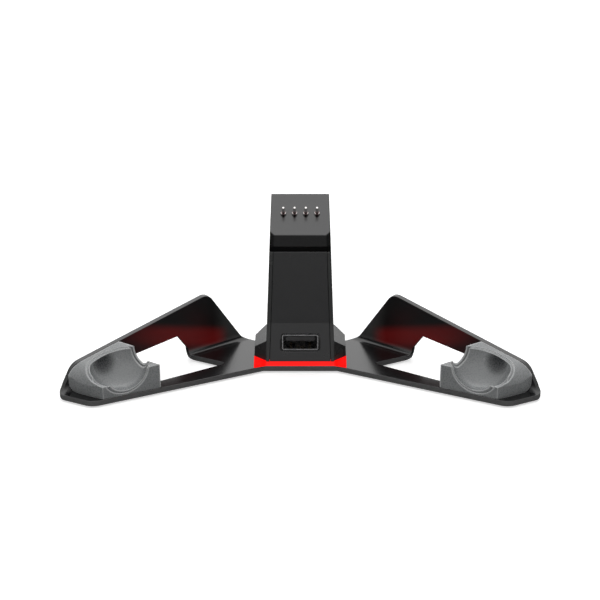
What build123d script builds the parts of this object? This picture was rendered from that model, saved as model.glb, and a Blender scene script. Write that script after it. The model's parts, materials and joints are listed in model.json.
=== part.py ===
"""Charging dock for a game controller: swept tray with two grip cups, tower with port and sprung contacts."""
import os
from math import atan2, cos, degrees, radians, sin, tan

from build123d import *

os.makedirs("parts", exist_ok=True)

# Driving dimensions, in millimetres and degrees.
# The dock faces -Y. The left half is drawn, and the right half is its mirror image.

# Whole dock, from tip to tip and up to the head's peak
dock_width = 169.9
dock_height = 62.2

# Tray: a flat floor with a folded-up wall along the rear of each arm
foot_height = 0.6
sheet = 2.0
front_y = 1.2
front_half = 13.5
sweep_deg = 24.7
tip_deg = 25.6
tip_front_round = 6.0
tip_outer_round = 3.0
rear_y = 22.3
rear_half = 17.2
root_round = 2.0
wall_root_x = 22.1
wall_root_y = 24.1
wall_deg = 34.5
wall_rise_deg = 56.5
wall_peak_s = 14.2
wall_peak_h = 24.1
wall_peak_round = 4.0
wall_drop_h = 11.25
wall_drop_back = 8.43
wall_drop_deg = 60.6
wall_drop_round = 6.0
wall_foot_round = 3.0
fold_inner_round = 2.4
fold_outer_reach = 4.25
edge_round = 0.35

# Opening through floor and wall of each arm
opening_corner_x = 26.75
opening_corner_y = 3.7
opening_fold_s = 23.4
window_lean_deg = 55.7
window_height = 10.6
window_fall_deg = 6.9
opening_round = 1.0
window_round = 0.5
rail_deg = 30.6
cup_ledge = 1.2

# Grip cup: soft pad with a scooped bowl, seated in the corner of floor and wall
cup_length = 20.5
cup_tip_gap = 6.09
cup_gap = 0.15
cup_inner_deg = 32.2
cup_front_gap = 0.3
cup_front_back = 4.29
cup_facet_length = 4.05
cup_facet_deg = 22.2
cup_middle_length = 5.6
cup_middle_deg = 27.2
cup_facet_height = 4.4
cup_tip_slope_deg = 70.0
cup_crown_round = 8.0
cup_block_height = 9.1
cup_block_start = 12.0
cup_block_run = 9.0
bowl_shift = 4.95
bowl_depth = 9.4
bowl_drop = 2.79
bowl_axis_deg = 76.6
bowl_axis_rise_deg = 15.6
bowl_short = 5.95
bowl_long = 10.5
bowl_edge_r = 4.05
rim_width = 0.85
rim_lead = 0.4
rim_end = 0.9
rim_sink = 0.4
corner_scoop_h = 4.7
corner_scoop_r = 5.0
cup_floor = 0.7
cup_peg_r = 1.5
cup_peg_length = 1.6
cup_peg_clearance = 0.05
cup_peg_depth = 5.0
cup_peg_pitch = 12.0

# Tower: tapered shell, open at the front, with two cheeks at its foot
tower_half_base = 12.68
tower_taper_deg = 2.19
tower_rear_y = 21.8
tower_wall = 1.4
tower_front_y = 2.0
tower_crease_y = 3.9
tower_crease_z = 18.7
tower_top_y = 5.3
panel_gap = 0.12
panel_thickness = 1.5
panel_recess = 0.12
panel_ledge = 0.9
panel_ledge_length = 1.4
cheek_half = 16.9
cheek_draft = 0.3
cheek_side_height = 5.8
cheek_slope_deg = 43.5
cheek_front_inset = 0.25
cheek_front_run = 4.0
cheek_rear_y = 15.4
cheek_rear_run = 1.2

# Light guide in front of the tower
guide_height = 1.45
guide_wing_height = 1.9
guide_lean = 0.55
guide_inset = 0.15
guide_gap = 0.05
guide_depth = 2.4
pipe_gap = 0.4
pipe_bevel = 1.2

# Neck band and head
neck_height = 2.0
neck_recess = 0.6
head_front_y = 5.4
head_front_height = 4.5
head_slope_deg = 30.35
head_wall = 1.6
head_chamfer = 1.5
head_edge_round = 0.3
head_spigot_depth = 3.0
head_spigot_gap = 0.1
head_spigot_wall = 1.2

# Sprung contact pins in the head
pin_count = 4
pin_pitch = 4.0
pin_row_run = 8.1
pin_hole_clearance = 0.1
barrel_r = 0.9
barrel_show = 1.0
barrel_bore_r = 0.6
barrel_lip_r = 0.525
barrel_lip_length = 0.3
barrel_floor = 0.4
barrel_bevel = 0.15
plunger_r = 0.475
plunger_show = 2.9
plunger_tail_r = 0.56
plunger_tail_length = 1.3
plunger_stop_gap = 0.05
pin_tail_r = 0.35
pin_tail_length = 1.8
spring_wire = 0.16
spring_r = 0.42
spring_turns = 5
spring_end_gap = 0.05

# Contact board under the sloped face
contact_drop = 3.4
contact_thickness = 1.2
contact_half = 7.6
contact_up = 3.8
contact_down = 6.4
contact_screw_x = 4.5
contact_screw_v = -4.4
contact_boss_r = 1.7
contact_socket_v = -2.2
contact_socket_height = 2.0

# Main board, port and inlet
post_r = 2.1
post_height = 4.7
post_edge = 2.1
post_y = 7.3
board_thickness = 1.2
board_gap = 0.3
port_width = 13.1
port_height = 6.0
port_depth = 13.0
port_sheet = 0.3
port_round = 0.6
port_recess = 0.1
port_gap = 0.2
port_outline = 0.5
port_outline_depth = 0.4
tongue_width = 10.6
tongue_thickness = 1.7
tongue_setback = 1.4
tongue_length = 8.0
tongue_top_gap = 1.0
port_fit = 0.02
port_tab_x = 3.0
port_tab_width = 2.0
port_tab_length = 5.0
port_tab_rise = 0.5
port_tab_setback = 2.4
contact_strip_width = 1.0
contact_strip_thickness = 0.15
contact_strip_length = 6.0
contact_strip_setback = 0.6
contact_strip_near_x = 1.0
contact_strip_far_x = 3.5
inlet_width = 8.94
inlet_height = 3.2
inlet_depth = 7.3
inlet_sheet = 0.3
inlet_tongue_width = 6.7
inlet_tongue_thickness = 0.7
inlet_tongue_length = 4.6
inlet_block_length = 1.2
inlet_gap = 0.25
inlet_recess = 0.3
socket_width = 6.0
socket_depth = 2.8
socket_height = 3.2
socket_rear_gap = 0.5
ribbon_width = 4.6
ribbon_thickness = 0.7
ribbon_bend = 6.0
led_pitch = 3.6
led_width = 1.6
led_depth = 1.0
led_height = 0.6
led_inset = 0.9
chip_y = 11.6
chip_size = 3.0
chip_height = 0.9
coil_size = 3.2
coil_height = 1.6
coil_round = 0.8
coil_x = 4.6
capacitor_x = 4.2
capacitor_pitch = 1.3
capacitor_length = 1.6
capacitor_width = 0.8

# Fasteners and feet
tower_screw_r = 1.1
tower_screw_head_r = 2.1
tower_screw_head = 1.2
tower_screw_length = 5.5
tower_screw_y = 10.4
tower_boss_r = 2.5
tower_boss_bite = 0.2
tower_boss_height = 13.0
screw_clearance = 0.05
small_head_height = 0.9
board_screw_r = 0.8
board_screw_head_r = 1.6
contact_screw_r = 0.6
contact_screw_head_r = 1.3
contact_screw_length = 2.6
drive_r = 0.55
drive_depth = 0.5
foot_r = 4.0
foot_recess = 0.4
foot_bevel = 0.25
foot_tip_depth = 8.2
foot_rear_x = 17.5
foot_rear_y = 17.0


def write_part(builder, name):
    """Label a finished piece and write it under its own name."""
    builder.part.label = name
    export_step(builder.part, f"parts/{name}.step")


def meet(point_a, deg_a, point_b, deg_b):
    """Point where two lines in plan cross, each given by a point and a direction."""
    ax, ay = cos(radians(deg_a)), sin(radians(deg_a))
    bx, by = cos(radians(deg_b)), sin(radians(deg_b))
    run = ((point_b[0] - point_a[0]) * by - (point_b[1] - point_a[1]) * bx) / (ax * by - ay * bx)
    return (point_a[0] + run * ax, point_a[1] + run * ay)


def along(point, deg, run):
    """Point at a distance from another in plan."""
    return (point[0] + run * cos(radians(deg)), point[1] + run * sin(radians(deg)))


def half_width(z):
    """Half the tower's width at a height."""
    return tower_half_base - (z - floor_z) * tan(radians(tower_taper_deg))


def tower_outline(z_low, z_high, inset=0.0):
    """Tapered front view of the tower between two heights."""
    low = half_width(z_low) - inset
    high = half_width(z_high) - inset
    with BuildSketch(Plane.XZ) as outline:
        with BuildLine():
            Polyline((-low, z_low), (low, z_low), (high, z_high), (-high, z_high), close=True)
        make_face()
    return outline.sketch


def side_view(points, x=0.0):
    """Face seen from the side, from points given as depth and height."""
    with BuildSketch(Plane.YZ.offset(x)) as view:
        with BuildLine():
            Polyline(*points, close=True)
        make_face()
    return view.sketch


def tapered_block(z_low, z_high, points, inset=0.0):
    """Block with the tower's taper seen from the front, and the given outline seen from the side."""
    with BuildPart() as block:
        extrude(tower_outline(z_low, z_high, inset), amount=beyond, both=True)
        extrude(side_view(points), amount=beyond, both=True, mode=Mode.INTERSECT)
    return block.part


def upright(front, rear, low, high):
    """Corners of an upright block seen from the side."""
    return [(front, low), (front, high), (rear, high), (rear, low)]


def front_line(shift=0.0):
    """The tower's creased front seen from the side, from its foot to its top."""
    return [
        (tower_front_y + shift, panel_foot_z),
        (tower_crease_y + shift, tower_crease_z),
        (tower_top_y + shift, tower_top_z),
    ]


# Heights and widths
floor_z = foot_height + sheet
cheek_front_half = tower_half_base - cheek_front_inset
guide_top_z = floor_z + guide_height
wing_top_z = floor_z + guide_wing_height
panel_foot_z = guide_top_z + guide_gap
head_slope = radians(head_slope_deg)
head_front_z = dock_height - (tower_rear_y - head_front_y) * tan(head_slope)
head_foot_z = head_front_z - head_front_height
tower_top_z = head_foot_z - neck_height
beyond = 40.0

# Left arm in plan: directions are measured from +X, and the arm runs towards -X
front_deg = 180.0 + sweep_deg
arm_deg = 180.0 + wall_deg
end_deg = 180.0 - tip_deg
front_corner = (-front_half, front_y)
wall_root = (-wall_root_x, wall_root_y)
wall_outer_root = along(wall_root, arm_deg - 90.0, sheet)
tip_turn = meet(
    along(wall_outer_root, arm_deg + 90.0, tip_outer_round),
    arm_deg,
    (tip_outer_round - dock_width / 2, 0),
    90.0,
)
tip_end = along(tip_turn, end_deg + 90.0, tip_outer_round)
tip_front = meet(front_corner, front_deg, tip_end, end_deg)
tip_outer = meet(wall_outer_root, arm_deg, tip_end, end_deg)
arm_length = (Vector(*tip_outer) - Vector(*wall_outer_root)).length

# Wall plane: x runs along the arm, y is height above the tray's underside, z points backwards
wall_plane = Plane(
    origin=(wall_root[0], wall_root[1], foot_height),
    x_dir=(cos(radians(arm_deg)), sin(radians(arm_deg)), 0),
    z_dir=(cos(radians(arm_deg - 90.0)), sin(radians(arm_deg - 90.0)), 0),
)
wall_drop_s = arm_length - wall_drop_back
wall_foot_s = wall_peak_s - (wall_peak_h - sheet) / tan(radians(wall_rise_deg))
wall_fall = (wall_peak_h - wall_drop_h) / (wall_drop_s - wall_peak_s)
wall_end_s = wall_drop_s + (wall_drop_h - sheet) / tan(radians(wall_drop_deg))

# Opening of the arm and the line of the cup's inner end
cup_outer_s = arm_length - cup_tip_gap
cup_inner_s = cup_outer_s - cup_length
cup_middle_s = cup_outer_s - cup_length / 2
cup_middle = along(wall_root, arm_deg, cup_middle_s)
opening_end_s = cup_inner_s - cup_ledge / cos(radians(wall_deg - cup_inner_deg))
opening_corner = (-opening_corner_x, opening_corner_y)
opening_fold = along(wall_root, arm_deg, opening_fold_s)
cup_back_line = along(wall_root, arm_deg + 90.0, cup_gap)
cup_inner_back = along(cup_back_line, arm_deg, cup_inner_s)
opening_end = along(wall_root, arm_deg, opening_end_s)
opening_rail_end = meet(opening_end, -cup_inner_deg, opening_corner, 180.0 + rail_deg)
window_foot_h = sheet + fold_inner_round
window_top_s = opening_fold_s + (window_height - window_foot_h) / tan(radians(window_lean_deg))

# Corners of the cup in plan
cup_front_end = along(tip_front, front_deg - 90.0, cup_front_gap)
cup_front_corner = along(cup_front_end, front_deg, -cup_front_back)
cup_inner_front = meet(cup_inner_back, -cup_inner_deg, cup_front_corner, front_deg)
cup_facet_end = along(cup_front_corner, 180.0 - cup_facet_deg, cup_facet_length)
cup_middle_end = along(cup_facet_end, 180.0 - cup_middle_deg, cup_middle_length)
cup_outer_back = along(cup_back_line, arm_deg, cup_outer_s)

# Places shared by tray, cups, feet and screws
cup_peg_centre = along(cup_middle, arm_deg + 90.0, cup_peg_depth)
cup_pegs = [along(cup_peg_centre, arm_deg, run) for run in (-cup_peg_pitch / 2, cup_peg_pitch / 2)]
foot_tip = along(cup_middle, arm_deg + 90.0, foot_tip_depth)
foot_rear = (-foot_rear_x, foot_rear_y)
cheek_screw = (-(cheek_half + half_width(floor_z)) / 2, tower_screw_y)
boss_offset = tower_wall + tower_boss_r - tower_boss_bite
rear_screw = (-(half_width(floor_z + tower_boss_height) - boss_offset), tower_rear_y - boss_offset)
board_z = floor_z + post_height
board_top_z = board_z + board_thickness
board_half = half_width(board_top_z) - tower_wall - board_gap
post_x = board_half - post_edge
board_screw = (-post_x, post_y)

# Tray: left half, then its mirror image
with BuildPart() as base_frame:
    with BuildSketch(Plane.XY.offset(foot_height)) as tray_outline:
        with BuildLine():
            Polyline(
                (0, front_y),
                front_corner,
                tip_front,
                tip_outer,
                wall_outer_root,
                (-rear_half, rear_y),
                (0, rear_y),
                close=True,
            )
        make_face()
        fillet(tray_outline.vertices().sort_by_distance(wall_outer_root)[0], root_round)
        fillet(tray_outline.vertices().sort_by_distance(tip_front)[0], tip_front_round)
        fillet(tray_outline.vertices().sort_by_distance(tip_outer)[0], tip_outer_round)
    extrude(amount=wall_peak_h + edge_round)
    # Room above the floor in front of the wall
    with BuildSketch(Plane.XY.offset(floor_z)):
        inner_near = meet(wall_root, arm_deg, (0, 0), 90.0)
        inner_far = along(wall_root, arm_deg, wall_end_s + beyond)
        with BuildLine():
            Polyline(inner_near, inner_far, (inner_far[0], -2 * beyond), (0, -2 * beyond), close=True)
        make_face()
    extrude(amount=beyond, mode=Mode.SUBTRACT)
    # Rounded fold between floor and wall, inside and outside
    fold_edges = base_frame.edges().filter_by(Axis((0, 0, 0), wall_plane.x_dir)).sort_by(Axis.Z)
    fillet(fold_edges[1], fold_inner_round)
    fold_section = Plane(
        origin=(wall_outer_root[0], wall_outer_root[1], foot_height),
        x_dir=-wall_plane.z_dir,
        z_dir=wall_plane.x_dir,
    ).offset(-beyond)
    with BuildSketch(fold_section):
        with BuildLine():
            Polyline(
                (0, fold_outer_reach),
                (-sheet, fold_outer_reach),
                (-sheet, -sheet),
                (fold_outer_reach, -sheet),
                (fold_outer_reach, 0),
            )
            RadiusArc((fold_outer_reach, 0), (0, fold_outer_reach), fold_inner_round + sheet)
        make_face()
    extrude(amount=beyond * 2 + wall_end_s, mode=Mode.SUBTRACT)
    # Slanted root, falling top edge and rounded drop of the wall
    with BuildSketch(wall_plane) as wall_trim:
        with BuildLine():
            Polyline(
                (-beyond, sheet),
                (wall_foot_s, sheet),
                (wall_peak_s, wall_peak_h),
                (wall_drop_s, wall_drop_h),
                (wall_end_s, sheet),
                (wall_end_s + beyond, sheet),
                (wall_end_s + beyond, wall_peak_h + beyond),
                (-beyond, wall_peak_h + beyond),
                close=True,
            )
        make_face()
        fillet(wall_trim.vertices().sort_by_distance((wall_peak_s, wall_peak_h))[0], wall_peak_round)
        fillet(wall_trim.vertices().sort_by_distance((wall_drop_s, wall_drop_h))[0], wall_drop_round)
        fillet(wall_trim.vertices().sort_by_distance((wall_foot_s, sheet))[0], wall_foot_round)
        fillet(wall_trim.vertices().sort_by_distance((wall_end_s, sheet))[0], wall_foot_round)
    extrude(amount=2 * sheet, both=True, mode=Mode.SUBTRACT)
    # Opening: through the floor, then up through the wall
    with BuildSketch(Plane.XY.offset(foot_height)) as floor_opening:
        past_wall = 2 * sheet
        with BuildLine():
            Polyline(
                opening_corner,
                opening_fold,
                along(opening_fold, arm_deg - 90.0, past_wall),
                along(opening_end, arm_deg - 90.0, past_wall),
                opening_end,
                opening_rail_end,
                close=True,
            )
        make_face()
        fillet(floor_opening.vertices().sort_by_distance(opening_rail_end)[0], opening_round)
        fillet(floor_opening.vertices().sort_by_distance(opening_corner)[0], opening_round)
    extrude(amount=sheet, mode=Mode.SUBTRACT)
    with BuildSketch(wall_plane.offset(-fold_inner_round)) as window:
        window_end_h = window_height - (opening_end_s - window_top_s) * tan(radians(window_fall_deg))
        with BuildLine():
            Polyline(
                (opening_fold_s, 0),
                (opening_fold_s, window_foot_h),
                (window_top_s, window_height),
                (opening_end_s, window_end_h),
                (opening_end_s, 0),
                close=True,
            )
        make_face()
        fillet(window.vertices().sort_by_distance((window_top_s, window_height))[0], window_round)
        fillet(window.vertices().sort_by_distance((opening_end_s, window_end_h))[0], window_round)
    extrude(amount=fold_inner_round + 2 * sheet, mode=Mode.SUBTRACT)
    # Posts for the main board
    with BuildSketch(Plane.XY.offset(floor_z)):
        with Locations(board_screw):
            Circle(post_r)
    extrude(amount=post_height)
    with BuildSketch(Plane.XY.offset(foot_height)):
        with Locations(board_screw):
            Circle(board_screw_r + screw_clearance)
    extrude(amount=sheet + post_height, mode=Mode.SUBTRACT)
    with BuildSketch(Plane.XY.offset(foot_height)):
        with Locations(board_screw):
            Circle(board_screw_head_r + screw_clearance)
    extrude(amount=small_head_height, mode=Mode.SUBTRACT)
    # Recesses for the feet, holes for the cup's pegs and for the tower's screws
    with BuildSketch(Plane.XY.offset(foot_height)):
        with Locations(foot_tip, foot_rear):
            Circle(foot_r + screw_clearance)
    extrude(amount=foot_recess, mode=Mode.SUBTRACT)
    with BuildSketch(Plane.XY.offset(foot_height)):
        with Locations(*cup_pegs):
            Circle(cup_peg_r + cup_peg_clearance)
    extrude(amount=sheet, mode=Mode.SUBTRACT)
    with BuildSketch(Plane.XY.offset(foot_height)):
        with Locations(cheek_screw, rear_screw):
            Circle(tower_screw_r + screw_clearance)
    extrude(amount=sheet, mode=Mode.SUBTRACT)
    with BuildSketch(Plane.XY.offset(foot_height)):
        with Locations(cheek_screw, rear_screw):
            Circle(tower_screw_head_r + screw_clearance)
    extrude(amount=tower_screw_head, mode=Mode.SUBTRACT)
    mirror(about=Plane.YZ)
write_part(base_frame, "base_frame")

# Grip cup: left one, then its mirror image
cup_back_h = wall_peak_h - (cup_inner_s - wall_peak_s) * wall_fall
cup_back_top = Vector(cup_inner_back[0], cup_inner_back[1], foot_height + cup_back_h)
crown_run = Vector(cos(radians(arm_deg)), sin(radians(arm_deg)), -wall_fall)
crown_across = Vector(cos(radians(-cup_inner_deg)), sin(radians(-cup_inner_deg)), 0)
crown_plane = Plane(origin=cup_back_top, x_dir=crown_run, z_dir=crown_run.cross(crown_across))
tip_slope = radians(cup_tip_slope_deg)
tip_inward_deg = 90.0 - cup_middle_deg
tip_plane = Plane(
    origin=(cup_middle_end[0], cup_middle_end[1], floor_z + cup_facet_height),
    z_dir=(
        -sin(tip_slope) * cos(radians(tip_inward_deg)),
        -sin(tip_slope) * sin(radians(tip_inward_deg)),
        cos(tip_slope),
    ),
)
inner_end_plane = Plane(
    origin=(cup_inner_back[0], cup_inner_back[1], floor_z),
    x_dir=(cos(radians(-cup_inner_deg)), sin(radians(-cup_inner_deg)), 0),
    z_dir=(-sin(radians(cup_inner_deg)), -cos(radians(cup_inner_deg)), 0),
)
bowl_axis_plan = radians(-bowl_axis_deg)
bowl_rise = radians(bowl_axis_rise_deg)
bowl_axis = Vector(
    cos(bowl_rise) * cos(bowl_axis_plan),
    cos(bowl_rise) * sin(bowl_axis_plan),
    sin(bowl_rise),
)
bowl_place = along(along(cup_middle, arm_deg, -bowl_shift), arm_deg + 90.0, bowl_depth)
bowl_centre = Vector(*bowl_place, cup_back_top.Z - bowl_drop)


def cup_block(inset):
    """Cup before it is scooped, drawn in from its sides and top by an inset."""
    with BuildPart() as block:
        with BuildSketch(Plane.XY.offset(floor_z)):
            with BuildLine():
                Polyline(
                    cup_inner_back,
                    cup_inner_front,
                    cup_front_corner,
                    cup_facet_end,
                    cup_middle_end,
                    cup_outer_back,
                    close=True,
                )
            make_face()
            if inset > 0:
                offset(amount=-inset, kind=Kind.INTERSECTION)
        extrude(amount=cup_back_h)
        back_foot = block.edges().filter_by(Axis((0, 0, 0), wall_plane.x_dir)).sort_by(Axis.Z)[0]
        fillet(back_foot, fold_inner_round + 2 * cup_gap)
        split(bisect_by=crown_plane.offset(-inset), keep=Keep.BOTTOM)
        split(bisect_by=tip_plane.offset(-inset), keep=Keep.BOTTOM)
        crown_face = block.faces().filter_by(Axis((0, 0, 0), crown_plane.z_dir))[0]
        tip_face = block.faces().filter_by(Axis((0, 0, 0), tip_plane.z_dir))[0]
        fillet(crown_face.edges() & tip_face.edges(), cup_crown_round - inset)
        with BuildSketch(inner_end_plane):
            with BuildLine():
                Polyline(
                    (cup_block_start - inset, cup_block_height - inset),
                    (cup_block_start + beyond, cup_block_height - inset),
                    (cup_block_start + beyond, beyond),
                    (cup_block_start - inset, beyond),
                    close=True,
                )
            make_face()
        extrude(amount=cup_block_run + inset, mode=Mode.SUBTRACT)
    return block.part


def bowl_profile(centre, grow):
    """Half section of the flattened ball that scoops the bowl: a small arc between two large ones."""
    short = bowl_short + grow
    long = bowl_long + grow
    edge_r = bowl_edge_r + grow
    edge_h = long - edge_r
    side_r = (edge_h**2 + short**2 - edge_r**2) / (2 * (short - edge_r))
    side_deg = degrees(atan2(edge_h, side_r - short))
    section = Plane(origin=centre, x_dir=bowl_axis, z_dir=bowl_axis.cross(Vector(0, 0, 1)))
    with BuildSketch(section) as profile:
        with BuildLine():
            CenterArc((short - side_r, 0), side_r, start_angle=0, arc_size=side_deg)
            CenterArc((0, edge_h), edge_r, start_angle=side_deg, arc_size=180 - 2 * side_deg)
            CenterArc((side_r - short, 0), side_r, start_angle=180 - side_deg, arc_size=side_deg)
            Line((-short, 0), (short, 0))
        make_face()
    return profile.sketch


rim_centre = bowl_centre + Vector(cos(radians(arm_deg)), sin(radians(arm_deg)), 0) * rim_lead
corner_scoop = (*cup_front_corner, floor_z + corner_scoop_h + corner_scoop_r)
with BuildPart() as cup_core:
    add(cup_block(rim_sink))
    with Locations(corner_scoop):
        Sphere(corner_scoop_r + rim_width, mode=Mode.SUBTRACT)
    split(bisect_by=inner_end_plane.offset(rim_end), keep=Keep.TOP)
with BuildPart() as bowl_floor:
    add(cup_core.part)
    split(bisect_by=Plane.XY.offset(floor_z + cup_floor), keep=Keep.BOTTOM)
with BuildPart() as grip_cup_left:
    add(cup_block(0.0))
    revolve(bowl_profile(rim_centre, rim_width), axis=Axis(rim_centre, bowl_axis), mode=Mode.SUBTRACT)
    with Locations(corner_scoop):
        Sphere(corner_scoop_r, mode=Mode.SUBTRACT)
    add(cup_core.part)
    revolve(bowl_profile(bowl_centre, 0.0), axis=Axis(bowl_centre, bowl_axis), mode=Mode.SUBTRACT)
    add(bowl_floor.part)
    with BuildSketch(Plane.XY.offset(floor_z)):
        with Locations(*cup_pegs):
            Circle(cup_peg_r)
    extrude(amount=-cup_peg_length)
write_part(grip_cup_left, "grip_cup_left")

with BuildPart() as grip_cup_right:
    mirror(grip_cup_left.part, about=Plane.YZ)
write_part(grip_cup_right, "grip_cup_right")

# Tower shell: sides, rear and the two cheeks in one moulding, open at the front, top and bottom
panel_back = front_line(panel_recess + panel_thickness)
ledge_back = front_line(panel_recess + panel_thickness + panel_ledge_length)
rear_inner_y = tower_rear_y - tower_wall
cheek_top_z = floor_z + cheek_side_height
cheek_peak_z = cheek_top_z + (cheek_half - cheek_draft - tower_half_base) * tan(radians(cheek_slope_deg))
inlet_z = board_z - inlet_height / 2
inlet_mouth_y = tower_rear_y - inlet_recess

shell_block = tapered_block(
    floor_z,
    tower_top_z,
    [(tower_front_y, floor_z), *front_line(), (tower_rear_y, tower_top_z), (tower_rear_y, floor_z)],
)
shell_hollow = tapered_block(
    floor_z,
    tower_top_z,
    [(ledge_back[0][0], floor_z), *ledge_back, (rear_inner_y, tower_top_z), (rear_inner_y, floor_z)],
    inset=tower_wall,
)
ledge_way = tapered_block(
    floor_z,
    tower_top_z,
    [(-beyond, floor_z), (-beyond, tower_top_z), (rear_inner_y, tower_top_z), (rear_inner_y, floor_z)],
    inset=tower_wall + panel_ledge,
)
panel_pocket = tapered_block(
    floor_z,
    tower_top_z,
    [(-beyond, floor_z), (panel_back[0][0], floor_z), *panel_back, (-beyond, tower_top_z)],
    inset=tower_wall,
)

with BuildPart() as tower_shell:
    add(shell_block)
    # Cheeks beside the foot, with sloped tops
    with BuildSketch(Plane.XY.offset(floor_z)):
        with BuildLine():
            Polyline(
                (-half_width(tower_crease_z), tower_front_y + cheek_front_run),
                (-cheek_front_half, tower_front_y),
                (-cheek_half, tower_front_y + cheek_front_run),
                (-cheek_half, cheek_rear_y),
                (-half_width(tower_crease_z), cheek_rear_y + cheek_rear_run),
                close=True,
            )
        make_face()
        mirror(about=Plane.YZ)
    extrude(amount=cheek_peak_z - floor_z)
    with BuildSketch(Plane.XZ):
        with BuildLine():
            Polyline(
                (-cheek_half, floor_z),
                (-cheek_half + cheek_draft, cheek_top_z),
                (-tower_half_base, cheek_peak_z),
                (-tower_half_base, cheek_peak_z + sheet),
                (-cheek_half - sheet, cheek_peak_z + sheet),
                (-cheek_half - sheet, floor_z),
                close=True,
            )
        make_face()
        mirror(about=Plane.YZ)
    extrude(amount=beyond, both=True, mode=Mode.SUBTRACT)
    add(shell_hollow, mode=Mode.SUBTRACT)
    add(ledge_way, mode=Mode.SUBTRACT)
    add(panel_pocket, mode=Mode.SUBTRACT)
    # Bosses in the rear corners
    with BuildSketch(Plane.XY.offset(floor_z)):
        with Locations(rear_screw):
            Circle(tower_boss_r)
        mirror(about=Plane.YZ)
    extrude(amount=tower_boss_height)
    # Pilot holes for the screws from below
    with BuildSketch(Plane.XY.offset(floor_z)):
        with Locations(cheek_screw, rear_screw):
            Circle(tower_screw_r + screw_clearance)
        mirror(about=Plane.YZ)
    extrude(amount=tower_screw_length, mode=Mode.SUBTRACT)
    # Room for the light guide under the front, and the cut-out for the inlet
    with BuildSketch(Plane.XY.offset(floor_z)):
        with BuildLine():
            Polyline(
                (-tower_half_base - guide_gap, -beyond),
                (-tower_half_base - guide_gap, tower_front_y + guide_depth + guide_gap),
                (tower_half_base + guide_gap, tower_front_y + guide_depth + guide_gap),
                (tower_half_base + guide_gap, -beyond),
                close=True,
            )
        make_face()
    extrude(amount=panel_foot_z - floor_z, mode=Mode.SUBTRACT)
    with BuildSketch(Plane.XZ.offset(-rear_inner_y)):
        with Locations((0, inlet_z)):
            SlotOverall(inlet_width + 2 * inlet_gap, inlet_height + 2 * inlet_gap)
    extrude(amount=-2 * tower_wall, mode=Mode.SUBTRACT)
write_part(tower_shell, "tower_shell")

# Front panel between the shell's sides, with the cut-out for the port
port_z = board_top_z + port_height / 2
front_lean = (tower_crease_y - tower_front_y) / (tower_crease_z - panel_foot_z)
port_front_y = tower_front_y + (port_z - panel_foot_z) * front_lean - port_recess
panel_block = tapered_block(
    panel_foot_z,
    tower_top_z,
    [*front_line(panel_recess), *reversed(panel_back)],
    inset=tower_wall + panel_gap,
)

with BuildPart() as tower_front_panel:
    add(panel_block)
    with BuildSketch(Plane.XZ.offset(-port_front_y)):
        with Locations((0, port_z)):
            RectangleRounded(port_width + 2 * port_gap, port_height + 2 * port_gap, port_round + port_gap)
    extrude(amount=beyond, both=True, mode=Mode.SUBTRACT)
    with BuildSketch(Plane.XZ.offset(-port_front_y - port_outline_depth)):
        with Locations((0, port_z)):
            RectangleRounded(
                port_width + 2 * port_gap + 2 * port_outline,
                port_height + 2 * port_gap + 2 * port_outline,
                port_round + port_gap + port_outline,
            )
    extrude(amount=beyond, mode=Mode.SUBTRACT)
write_part(tower_front_panel, "tower_front_panel")

# Light guide: a bar along the front, flared ends that run down to the tray's edge, and a light pipe
guide_front_y = front_y + guide_inset
guide_end_front_y = guide_front_y - (cheek_half - front_half) * tan(radians(sweep_deg))
guide_end_back_y = tower_front_y + cheek_front_run - guide_gap
guide_back_y = tower_front_y + guide_depth
board_front_y = ledge_back[0][0] + (board_top_z - panel_foot_z) * front_lean + board_gap
led_y = board_front_y + led_inset
pipe_rear_y = led_y + led_depth / 2

with BuildPart() as light_guide:
    extrude(
        side_view(
            [
                (guide_front_y, floor_z),
                (guide_front_y + guide_lean, guide_top_z),
                (guide_back_y, guide_top_z),
                (guide_back_y, floor_z),
            ]
        ),
        amount=cheek_front_half,
        both=True,
    )
    extrude(
        side_view(
            [
                (guide_front_y + guide_lean, floor_z),
                (guide_front_y + guide_lean, guide_top_z),
                (pipe_rear_y - pipe_bevel, guide_top_z),
                (pipe_rear_y, guide_top_z - pipe_bevel),
                (pipe_rear_y, floor_z),
            ]
        ),
        amount=post_x - post_r - pipe_gap,
        both=True,
    )
    with BuildSketch(Plane.YZ.offset(cheek_front_half)):
        with BuildLine():
            Polyline(
                (guide_front_y, floor_z),
                (guide_front_y + guide_lean, wing_top_z),
                (guide_front_y + guide_lean + guide_gap, wing_top_z),
                (guide_front_y + guide_lean + guide_gap, floor_z),
                close=True,
            )
        make_face()
    with BuildSketch(Plane.YZ.offset(cheek_half)):
        with BuildLine():
            Polyline(
                (guide_end_front_y, floor_z),
                (guide_end_back_y - guide_gap, wing_top_z),
                (guide_end_back_y, wing_top_z),
                (guide_end_back_y, floor_z),
                close=True,
            )
        make_face()
    loft(ruled=True)
    mirror(about=Plane.YZ)
write_part(light_guide, "light_guide")

# Head: a hollow cap with a sloped face, whose spigot passes the neck band into the tower
head_drop = head_wall / cos(head_slope)
head_inner_front_y = head_front_y + head_wall
head_inner_rear_y = tower_rear_y - head_wall
spigot_foot_z = tower_top_z - head_spigot_depth
spigot_front_y = tower_top_y + panel_recess + panel_thickness + panel_ledge_length + head_spigot_gap
spigot_rear_y = rear_inner_y - head_spigot_gap
spigot_inset = tower_wall + head_spigot_gap
contact_plane = Plane(
    origin=(0, head_front_y + pin_row_run, head_front_z + pin_row_run * tan(head_slope)),
    x_dir=(1, 0, 0),
    z_dir=(0, -sin(head_slope), cos(head_slope)),
)
pin_places = [((i - (pin_count - 1) / 2) * pin_pitch, 0) for i in range(pin_count)]
contact_screws = [(-contact_screw_x, contact_screw_v), (contact_screw_x, contact_screw_v)]


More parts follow.
